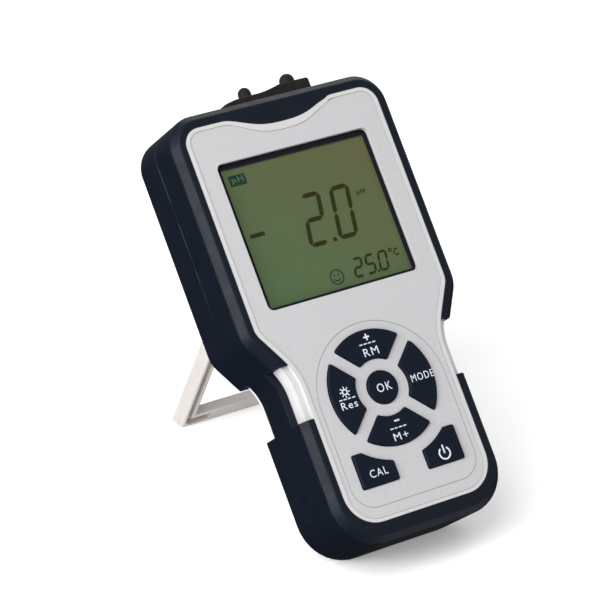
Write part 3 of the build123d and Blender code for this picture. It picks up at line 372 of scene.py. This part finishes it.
# ==================================================================== building pieces
def put(piece, body, material):
    """Moves a flat-drawn mesh into the row frame and lets it ride on its body."""
    scene.collection.objects.link(piece)
    piece.data.transform(FLAT)
    paint(piece, material)
    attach(piece, body)


def smooth(mesh, angle):
    """Smooth shading with sharp edges kept where faces turn by more than angle degrees."""
    mesh.polygons.foreach_set("use_smooth", [True] * len(mesh.polygons))
    edit = bmesh.new()
    edit.from_mesh(mesh)
    for edge in edit.edges:
        edge.smooth = len(edge.link_faces) == 2 and edge.calc_face_angle(0.0) < math.radians(angle)
    edit.to_mesh(mesh)
    edit.free()


def soften(piece, width, angle, segments):
    """Rounds the edges sharper than angle degrees by width millimetres."""
    bevel = piece.modifiers.new("soft_edges", "BEVEL")
    bevel.width = width * MM
    bevel.segments = segments
    bevel.limit_method = "ANGLE"
    bevel.angle_limit = math.radians(angle)
    bevel.harden_normals = True


def dip(x):
    """How far down the scalloped top edge is at x, from 0 at its ends to 1 in the middle."""
    reach = min(1.0, abs(x) / SCALLOP_HALF)
    return 0.5 * (1 + math.cos(math.pi * reach ** SCALLOP_POWER))


def arc_corner(before, corner, after, radius, steps):
    """Points of the arc of that radius that rounds a corner."""
    back = (Vector(before) - Vector(corner)).normalized()
    ahead = (Vector(after) - Vector(corner)).normalized()
    half = math.acos(max(-1.0, min(1.0, back.dot(ahead)))) / 2
    centre = Vector(corner) + (back + ahead).normalized() * radius / math.sin(half)
    start = Vector(corner) + back * radius / math.tan(half) - centre
    end = Vector(corner) + ahead * radius / math.tan(half) - centre
    turn = start.angle_signed(end)
    points = []
    for step in range(steps + 1):
        spun = start.copy()
        spun.rotate(Matrix.Rotation(-turn * step / steps, 2))
        points.append(tuple(centre + spun))
    return points


def rounded(corners, radii, steps):
    """A closed outline whose corners are arcs."""
    points = []
    for index, corner in enumerate(corners):
        before = corners[index - 1]
        after = corners[(index + 1) % len(corners)]
        points += arc_corner(before, corner, after, radii[index], steps)
    return points


CORNER_STEPS = 12
TOP_EDGE_STEPS = 40
SCALLOP_MARGIN = 0.5


def outline(inset, bottom=None, top=None, scallop=0.0):
    """The meter's outline, inset by that much, with an evenly divided top edge.

    Its bottom and top edges can have insets of their own, and the top one can dip."""
    low = inset if bottom is None else bottom
    high = BOOT_LENGTH - (inset if top is None else top)
    slope = math.atan2(UPPER_HALF - LOWER_HALF, KNEE_HIGH - KNEE_LOW)
    shift = inset * math.tan(slope / 2)
    upper = UPPER_HALF - inset
    lower = LOWER_HALF - inset
    right = [(lower, low), (lower, KNEE_LOW + shift), (upper, KNEE_HIGH + shift), (upper, high)]
    radii = [
        max(BOTTOM_RADIUS - inset, LEAST_RADIUS),
        KNEE_LOW_RADIUS + inset,
        max(KNEE_HIGH_RADIUS - inset, LEAST_RADIUS),
        max(TOP_RADIUS - inset, LEAST_RADIUS),
    ]
    left = [(-x, y) for x, y in reversed(right)]
    loop = rounded(right + left, radii + radii[::-1], CORNER_STEPS)
    half = len(loop) // 2
    span = SCALLOP_HALF + SCALLOP_MARGIN
    top_edge = []
    for step in range(TOP_EDGE_STEPS + 1):
        x = span - 2 * span * step / TOP_EDGE_STEPS
        top_edge.append((x, high - scallop * dip(x)))
    return loop[:half] + top_edge + loop[half:]


def solid(name, rings, closed_profile=False):
    """A mesh lofted through rings of flat points (x, y, z).

    Its two ends are filled, or joined to each other where the profile is closed."""
    edit = bmesh.new()
    rows = [[edit.verts.new((x * MM, y * MM, z * MM)) for x, y, z in ring] for ring in rings]
    pairs = list(zip(rows, rows[1:]))
    if closed_profile:
        pairs.append((rows[-1], rows[0]))
    for lower, upper in pairs:
        count = len(lower)
        for index in range(count):
            after = (index + 1) % count
            edit.faces.new((lower[index], lower[after], upper[after], upper[index]))
    if not closed_profile:
        edit.faces.new(list(reversed(rows[0])))
        edit.faces.new(rows[-1])
    bmesh.ops.recalc_face_normals(edit, faces=edit.faces)
    mesh = bpy.data.meshes.new(name)
    edit.to_mesh(mesh)
    edit.free()
    return bpy.data.objects.new(name, mesh)


def flatten(piece):
    """A mesh of a piece as its modifiers leave it; the piece itself is removed."""
    scene.collection.objects.link(piece)
    view = bpy.context.evaluated_depsgraph_get()
    mesh = bpy.data.meshes.new_from_object(piece.evaluated_get(view))
    mesh.name = piece.name
    bpy.data.objects.remove(piece)
    return mesh


def stencil(name, loops, z, thickness):
    """A thin raised shape from closed outlines; an outline inside another is a hole."""
    curve = bpy.data.curves.new(name, "CURVE")
    curve.dimensions = "2D"
    curve.fill_mode = "BOTH"
    curve.extrude = thickness * MM / 2
    for loop in loops:
        spline = curve.splines.new("POLY")
        spline.points.add(len(loop) - 1)
        for point, (x, y) in zip(spline.points, loop):
            point.co = (x * MM, y * MM, 0, 1)
        spline.use_cyclic_u = True
    mesh = flatten(bpy.data.objects.new(name, curve))
    mesh.transform(Matrix.Translation((0, 0, z * MM)))
    return bpy.data.objects.new(name, mesh)


def lettering(name, text, centre, size, z, thickness, weight=0.0):
    """Raised letters, made bolder by weight, that fill size (width, height) about centre."""
    font = bpy.data.curves.new(name, "FONT")
    font.body = text
    font.offset = weight
    font.extrude = 0.5  # one unit thick, for the stretch below
    font.resolution_u = 4
    font.space_character = 1.2
    mesh = flatten(bpy.data.objects.new(name, font))
    corners = [vertex.co for vertex in mesh.vertices]
    low = [min(corner[axis] for corner in corners) for axis in range(3)]
    high = [max(corner[axis] for corner in corners) for axis in range(3)]
    middle = Vector([(a + b) / 2 for a, b in zip(low, high)])
    stretch = Matrix.Diagonal((
        size[0] * MM / (high[0] - low[0]),
        size[1] * MM / (high[1] - low[1]),
        thickness * MM,
        1,
    ))
    place = Matrix.Translation(Vector((centre[0], centre[1], z)) * MM)
    mesh.transform(place @ stretch @ Matrix.Translation(-middle))
    return bpy.data.objects.new(name, mesh)


def arc(centre, radius, start, end, steps=24):
    """Points of an arc; the angles are in degrees, anticlockwise from +x."""
    points = []
    for step in range(steps + 1):
        angle = math.radians(start + (end - start) * step / steps)
        x = centre[0] + radius * math.cos(angle)
        y = centre[1] + radius * math.sin(angle)
        points.append((x, y))
    return points


def band(centre, radius, width, start, end):
    """The outline of an arc-shaped stroke."""
    outer = arc(centre, radius + width / 2, start, end)
    return outer + arc(centre, radius - width / 2, end, start)


def hoop(centre, radius, width):
    """A ring: its outer and inner outlines, with a point every ten degrees."""
    return [arc(centre, edge, 0, 350, 35) for edge in (radius + width / 2, radius - width / 2)]


def bar(start, end, width):
    """The outline of a straight stroke with square ends."""
    first, last = Vector(start), Vector(end)
    side = (last - first).normalized().orthogonal() * width / 2
    return [tuple(first + side), tuple(last + side), tuple(last - side), tuple(first - side)]


def box_outline(centre, size):
    """The outline of a rectangle of size (width, height)."""
    x, y = centre
    across, up = size[0] / 2, size[1] / 2
    return [(x - across, y - up), (x + across, y - up), (x + across, y + up), (x - across, y + up)]


# =============================================================================== boot
BOOT_WALL = 2.9
BOOT_FLOOR_Z = 2.0
BOOT_FRONT_Z = 33.0
BACK_OPENING = (10.0, 12.0)  # inset of the sides and top, and of the bottom
BACK_OPENING_EDGE = 0.3
BACK_RIM_INSET = 3.2
BACK_ROUND = 2.0
BACK_ROUND_DEGREES = (0, 22.5, 45, 67.5, 90)
# (step from PARTING_Z, depth) across the parting line's groove, which has y values at its ends
PARTING_GROOVE = ((-0.4, 0.0), (-0.15, 0.3), (0.15, 0.3), (0.4, 0.0))
GROOVE_SPAN = (90.0, 158.0)
GROOVE_FADE = 6.0
# (inset, z) over the front edge: a chamfer with soft edges, up to the rim
FRONT_EDGE = (
    (0, 29.3), (0.08, 29.85), (0.35, 30.3), (2.2, 32.5), (2.55, 32.85), (3.1, BOOT_FRONT_Z)
)
PANEL_OPENING = (5.15, 7.3, 5.5)  # inset of the sides, the bottom and the top
PANEL_EDGE = (0.2, 0.15)  # across and down
LIP_BACK_Z = 31.2

# The cut-outs as ranges of x, y and z. The PAST_ values only have to lie outside the boot.
PAST_SIDES = (-60, 60)
PAST_TOP = 180
PAST_BACK = -5
PAST_FRONT = 40
BOOT_CUTS = {
    "waist_front": (PAST_SIDES, WAIST, (24.4, PAST_FRONT)),
    "waist_back": (PAST_SIDES, WAIST, (PAST_BACK, 9)),
    "sockets": ((-12.1, 24.1), (160, PAST_TOP), (8.1, 25.9)),
    "stand_foot": ((-26.3, 26.3), (11.4, 30), (PAST_BACK, 2.5)),
}


def ring(inset, z, bottom=None, top=None, scallop=0.0):
    return [(x, y, z) for x, y in outline(inset, bottom, top, scallop)]


def groove_ring(z, depth):
    """An outer ring that is sunk by depth over the groove's span and fades out at its ends."""
    low, high = GROOVE_SPAN
    moved = []
    for outer, inner in zip(ring(0, z), ring(depth, z)):
        y = outer[1]
        share = max(0.0, min(1.0, (y - low) / GROOVE_FADE, (high - y) / GROOVE_FADE))
        moved.append(tuple(a + (b - a) * share for a, b in zip(outer, inner)))
    return moved


def boot_rings():
    """The boot's section, from the back opening over the outside to the panel and in again."""
    sides, bottom = BACK_OPENING
    edge = BACK_OPENING_EDGE
    rings = [
        ring(sides, BOOT_FLOOR_Z, bottom),
        ring(sides, edge, bottom),
        ring(sides - edge, 0.0, bottom - edge),
        ring(BACK_RIM_INSET, 0.0),
    ]
    for degrees in BACK_ROUND_DEGREES:
        turn = math.radians(degrees)
        rings.append(ring(BACK_ROUND * (1 - math.sin(turn)), BACK_ROUND * (1 - math.cos(turn))))
    rings += [groove_ring(PARTING_Z + step, depth) for step, depth in PARTING_GROOVE]
    rings += [ring(inset, z) for inset, z in FRONT_EDGE]
    across, down = PANEL_EDGE
    side, low, top = PANEL_OPENING
    rings += [
        ring(side - across, BOOT_FRONT_Z, low - across, top - across, SCALLOP_DROP),
        ring(side, BOOT_FRONT_Z - down, low, top, SCALLOP_DROP),
        ring(side, LIP_BACK_Z, low, top, SCALLOP_DROP),
        ring(BOOT_WALL, LIP_BACK_Z),
        ring(BOOT_WALL, BOOT_FLOOR_Z),
    ]
    return rings


def block(x_range, y_range, z_range):
    """A cutter: a plain box between two corners."""
    corners = [(x_range[i], y_range[j]) for i, j in ((0, 0), (1, 0), (1, 1), (0, 1))]
    return solid("cutter", [[(x, y, z) for x, y in corners] for z in z_range])


def carve(piece, cutters):
    """Cuts boxes out of a piece and returns it as a plain mesh object."""
    for index, cutter in enumerate(cutters):
        scene.collection.objects.link(cutter)
        cut = piece.modifiers.new(f"cut_{index}", "BOOLEAN")
        cut.operation = "DIFFERENCE"
        cut.solver = "EXACT"
        cut.object = cutter
    name = piece.name
    mesh = flatten(piece)
    for cutter in cutters:
        bpy.data.objects.remove(cutter)
    return bpy.data.objects.new(name, mesh)


def make_boot():
    shape = solid("boot_moulding", boot_rings(), closed_profile=True)
    boot = carve(shape, [block(*ranges) for ranges in BOOT_CUTS.values()])
    soften(boot, width=0.45, angle=38, segments=3)
    mesh = flatten(boot)
    smooth(mesh, angle=32)
    boot = bpy.data.objects.new("boot_moulding", mesh)
    keep_flat = boot.modifiers.new("flat_faces_stay_flat", "WEIGHTED_NORMAL")
    keep_flat.keep_sharp = True
    keep_flat.weight = 100
    put(boot, "meter", MATERIALS["boot_rubber"])
    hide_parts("boot")


# =============================================================== carried-over CAD nodes
def finish_cad_nodes():
    for part in frame["record"]["subparts"]:
        paint(nodes[part["node"]], MATERIALS[part["material_slot"]])


# =================================================================== panel: border lines
KEYPAD_HALF = 27.1
KEYPAD_LOW = 12.8
KEYPAD_HIGH = 52
KEYPAD_RADIUS = 9.0
PANEL_LINE = (6.95, 8.65, 7.05, 6.7)  # inset of the sides, bottom and top, and the dip
# A bead's section: (across, up), in bead widths and heights. Its feet are sunk.
BEAD_PROFILE = ((-0.5, -0.4), (-0.33, 0.67), (0.0, 1.0), (0.33, 0.67), (0.5, -0.4))


def keypad_outline():
    """A half circle over a rounded rectangle, round the keys."""
    high_left, low_left = (-KEYPAD_HALF, KEYPAD_HIGH), (-KEYPAD_HALF, KEYPAD_LOW)
    low_right, high_right = (KEYPAD_HALF, KEYPAD_LOW), (KEYPAD_HALF, KEYPAD_HIGH)
    path = arc((0, KEYPAD_HIGH), KEYPAD_HALF, 0, 180, 60)
    path += arc_corner(high_left, low_left, low_right, KEYPAD_RADIUS, 14)
    path += arc_corner(low_left, low_right, high_right, KEYPAD_RADIUS, 14)
    return path


def bead(name, path, width, height):
    """A low round bead on the panel film, along a closed path."""
    count = len(path)
    rows = []
    for offset, lift in BEAD_PROFILE:
        row = []
        for index in range(count):
            before = Vector(path[index - 1])
            after = Vector(path[(index + 1) % count])
            normal = (after - before).normalized().orthogonal()
            point = Vector(path[index]) + normal * offset * width
            row.append((point.x, point.y, OVERLAY_TOP_Z + lift * height))
        rows.append(row)
    line = solid(name, rows, closed_profile=True)
    smooth(line.data, angle=60)
    # the bead's grey is painted shade of a groove
    put(line, "meter", INK["groove"])


def make_border_lines():
    bead("keypad_border_line", keypad_outline(), width=0.36, height=0.12)
    bead("panel_edge_line", outline(*PANEL_LINE), width=0.4, height=0.1)


# ===================================================================== printed legends
LEGEND_THICKNESS = 0.05
SIGN_STROKE = 0.6
DASH_COUNT = 4
DASH_LENGTH = 1.35
DASH_GAP = 0.5
DASH_STROKE = 0.42
SUN_RADIUS = 0.95
SUN_STROKE = 0.5
RAY_REACH = (1.35, 2.1)
RAY_STROKE = 0.42
POWER_RADIUS = 2.25
POWER_STROKE = 0.62
POWER_ARC = (125, 415)
POWER_BAR = (-0.1, 3.2)


def dashes(x, y):
    """The broken line between a key's two legends."""
    pitch = DASH_LENGTH + DASH_GAP
    first = x - (DASH_COUNT - 1) / 2 * pitch
    middles = [first + index * pitch for index in range(DASH_COUNT)]
    reach = DASH_LENGTH / 2
    return [bar((middle - reach, y), (middle + reach, y), DASH_STROKE) for middle in middles]


def plus_sign(x, y, size, width):
    """The outline of a plus sign."""
    arm, half = size / 2, width / 2
    quarter = [(half, half), (half, arm), (-half, arm)]
    loop = []
    for turn in range(4):
        rotation = Matrix.Rotation(math.radians(90 * turn), 2)
        loop += [tuple(rotation @ Vector(point) + Vector((x, y))) for point in quarter]
    return loop


def sun(x, y):
    """A small ring with eight rays."""
    loops = hoop((x, y), SUN_RADIUS, SUN_STROKE)
    for step in range(8):
        turn = math.radians(45 * step + 90)
        ray = Vector((math.cos(turn), math.sin(turn)))
        start, end = (tuple(Vector((x, y)) + ray * reach) for reach in RAY_REACH)
        loops.append(bar(start, end, RAY_STROKE))
    return loops


def power_sign(x, y):
    """A ring that is open at its top, with a bar through the gap."""
    low, high = POWER_BAR
    return [
        band((x, y), POWER_RADIUS, POWER_STROKE, *POWER_ARC),
        bar((x, y + low), (x, y + high), POWER_STROKE),
    ]


def mark(key, title, loops):
    piece = stencil(f"legend_{title}", loops, KEY_TOP_Z, LEGEND_THICKNESS)
    put(piece, f"button_{key}", INK["legend"])


def word(key, text, title, centre, size):
    piece = lettering(f"legend_{title}", text, centre, size, KEY_TOP_Z, LEGEND_THICKNESS)
    put(piece, f"button_{key}", INK["legend"])


def make_legends():
    plus = plus_sign(0.5, 73.1, size=2.5, width=SIGN_STROKE)
    minus = bar((-0.8, 40.6), (1.4, 40.6), SIGN_STROKE)
    mark("plus", "plus_sign", [plus] + dashes(0.0, 70.7))
    word("plus", "RM", "recall", centre=(0.3, 67.5), size=(6.3, 3.0))
    word("mode", "MODE", "mode", centre=(17.0, 53.5), size=(9.7, 2.8))
    word("ok", "OK", "ok", centre=(0.3, 53.7), size=(6.2, 3.2))
    mark("backlight", "sun", sun(-15.9, 56.0) + dashes(-15.9, 53.4))
    word("backlight", "Res", "response", centre=(-15.9, 51.1), size=(6.8, 2.8))
    mark("minus", "minus_sign", [minus] + dashes(-0.1, 38.0))
    word("minus", "M+", "store", centre=(-0.2, 34.8), size=(6.2, 2.8))
    word("cal", "CAL", "calibrate", centre=(-14.2, 24.7), size=(7.5, 2.9))
    mark("power", "power", power_sign(14.4, 23.9))


# ======================================================================== display digits
LCD_Z = DISPLAY_Z + 0.01
SEGMENT_THICKNESS = 0.06
SLANT = 0.165
SEGMENT_GAP = 0.12  # in strokes
SEGMENT_TIP = 0.2  # how much of its length a pointed end keeps
# a digit's segments, from and to, in its widths and heights
SEGMENTS = {
    "a": ((0, 1), (1, 1)),
    "b": ((1, 0.5), (1, 1)),
    "c": ((1, 0), (1, 0.5)),
    "d": ((0, 0), (1, 0)),
    "e": ((0, 0), (0, 0.5)),
    "f": ((0, 0.5), (0, 1)),
    "g": ((0, 0.5), (1, 0.5)),
}
DIGITS = {"0": "abcdef", "2": "abged", "5": "afgcd"}


def segment(start, end, stroke):
    """One segment: a bar with pointed ends, a little short of its neighbours."""
    first, last = Vector(start), Vector(end)
    along = (last - first).normalized()
    across = along.orthogonal() * stroke / 2
    first += along * stroke * SEGMENT_GAP
    last -= along * stroke * SEGMENT_GAP
    point = along * stroke / 2
    return [
        first - point * SEGMENT_TIP,
        first + point + across,
        last - point + across,
        last + point * SEGMENT_TIP,
        last - point - across,
        first + point - across,
    ]


def digit(text, corner, size, stroke):
    """The lit segments of a digit, leaning right, from its lower left corner."""
    x, y = corner
    width, height = size
    loops = []
    for letter in DIGITS[text]:
        ends = [(across * width, up * height) for across, up in SEGMENTS[letter]]
        loop = segment(*ends, stroke)
        loops.append([(x + point.x + SLANT * point.y, y + point.y) for point in loop])
    return loops


def show(title, loops, ink="segment"):
    piece = stencil(f"display_{title}", loops, LCD_Z, SEGMENT_THICKNESS)
    put(piece, "meter", INK[ink])


def caption(title, text, centre, size, weight=0.03, z=LCD_Z, material=INK["segment"]):
    piece = lettering(f"display_{title}", text, centre, size, z, SEGMENT_THICKNESS, weight)
    put(piece, "meter", material)


def show_reading():
    """The main reading, -2.0."""
    low, size, stroke = 111.6, (6.9, 18.6), 1.75
    show("reading_units", digit("2", (-5.45, low), size, stroke))
    show("reading_point", [box_outline((4.75, low), (1.5, 1.5))])
    show("reading_tenths", digit("0", (7.25, low), size, stroke))
    show("minus", [box_outline((-25.25, 120.8), (6.2, 1.6))])


def show_temperature():
    """The small reading, 25.0, with its degree ring."""
    low, size, stroke = 95.8, (3.3, 6.8), 0.98
    for index, (text, x) in enumerate((("2", 7.55), ("5", 12.95), ("0", 18.55))):
        show(f"temperature_{index}", digit(text, (x, low), size, stroke))
    show("temperature_point", [box_outline((17.55, low), (0.85, 0.85))])
    show("degree_ring", hoop((25.05, 102.3), 0.6, 0.5))


def smiley(x, y):
    """The steady-reading sign: a ring with a smile and two eyes."""
    loops = hoop((x, y), 2.75, 0.5)
    loops.append(band((x, y), 1.45, 0.5, 205, 335))
    return loops + [box_outline((x + side * 0.95, y + 0.75), (0.5, 0.7)) for side in (-1, 1)]


def make_display():
    show_reading()
    show_temperature()
    caption("celsius", "C", centre=(27.25, 101.0), size=(2.1, 3.0))
    caption("unit", "pH", centre=(22.05, 126.2), size=(3.7, 2.5))
    show("steady_face", smiley(-0.15, 97.9), "badge")
    badge = (-25.05, 142.4)
    show("mode_badge", [box_outline(badge, (6.9, 4.1))], "badge")
    caption("mode_name", "pH", badge, (4.8, 2.9), 0.02, LCD_Z + 0.04, MATERIALS["lcd_panel"])


# ======================================================================= studio, camera
FLOOR_SIZE = 12.0
LIT_POINT = (0, 0, 0.07)
CAMERA_PLACE = (-0.55997, -0.84661, 0.62487)
CAMERA_TURN = (61.7536, -0.8272, -32.4744)
CAMERA_LENS = 186.65


def make_floor():
    mesh = bpy.data.meshes.new("floor")
    corners = box_outline((0, 0), (FLOOR_SIZE, FLOOR_SIZE))
    mesh.from_pydata([(x, y, 0) for x, y in corners], [], [(0, 1, 2, 3)])
    floor = bpy.data.objects.new("floor", mesh)
    scene.collection.objects.link(floor)
    paint(floor, studio_floor())
    floor.visible_glossy = False


def softbox(name, location, size, power):
    """A rectangular light in metres and watts that faces the meter."""
    light = bpy.data.lights.new(name, "AREA")
    light.shape = "RECTANGLE"
    light.size, light.size_y = size
    light.energy = power
    lamp = bpy.data.objects.new(name, light)
    scene.collection.objects.link(lamp)
    lamp.location = location
    towards = Vector(LIT_POINT) - Vector(location)
    lamp.rotation_euler = towards.to_track_quat("-Z", "Y").to_euler()


def make_world():
    """A bright sky over a dark lower half, with a pale patch low at the front right.

    The patch is below the floor, which reflections don't see, so it only shows as gloss."""
    world = bpy.data.worlds.new("studio")
    scene.world = world
    world.use_nodes = True
    tree = world.node_tree
    background = tree.nodes["Background"]
    background.inputs["Color"].default_value = (1.0, 1.0, 1.0, 1.0)
    direction = tree.nodes.new("ShaderNodeTexCoord").outputs["Generated"]
    total = tree.nodes.new("ShaderNodeMath")
    total.operation = "ADD"
    # each glow: its direction, and its range from start..end to strengths low..high
    glows = (
        ((0.0, 0.0, 1.0), (-0.12, -0.02, 0.04, 0.5)),
        ((0.484, -0.556, -0.673), (0.8, 0.97, 0.0, 1.0)),
    )
    for slot, (axis, levels) in enumerate(glows):
        towards = tree.nodes.new("ShaderNodeVectorMath")
        towards.operation = "DOT_PRODUCT"
        towards.inputs[1].default_value = axis
        tree.links.new(direction, towards.inputs[0])
        glow = tree.nodes.new("ShaderNodeMapRange")
        set_range(glow, *levels)
        tree.links.new(towards.outputs["Value"], glow.inputs["Value"])
        tree.links.new(glow.outputs["Result"], total.inputs[slot])
    tree.links.new(total.outputs["Value"], background.inputs["Strength"])


def make_lights():
    """A large light from the upper left, and two that catch the edges."""
    softbox("key_light", (-0.9, -0.5, 1.25), size=(1.0, 1.0), power=16.5)
    softbox("left_edge_light", (-1.1, -0.16, 0.44), size=(0.35, 0.7), power=9.0)
    softbox("back_edge_light", (0.5, 0.85, 0.55), size=(0.8, 0.3), power=2.0)
    scene.view_settings.view_transform = "Standard"


def make_camera():
    data = bpy.data.cameras.new("camera")
    data.lens = CAMERA_LENS
    data.sensor_width = 36.0
    data.clip_end = 50.0
    camera = bpy.data.objects.new("camera", data)
    scene.collection.objects.link(camera)
    camera.location = CAMERA_PLACE
    camera.rotation_euler = [math.radians(angle) for angle in CAMERA_TURN]
    scene.camera = camera


make_camera()
make_world()
make_lights()
make_floor()
finish_cad_nodes()
make_boot()
make_border_lines()
make_legends()
make_display()

bpy.context.view_layer.update()
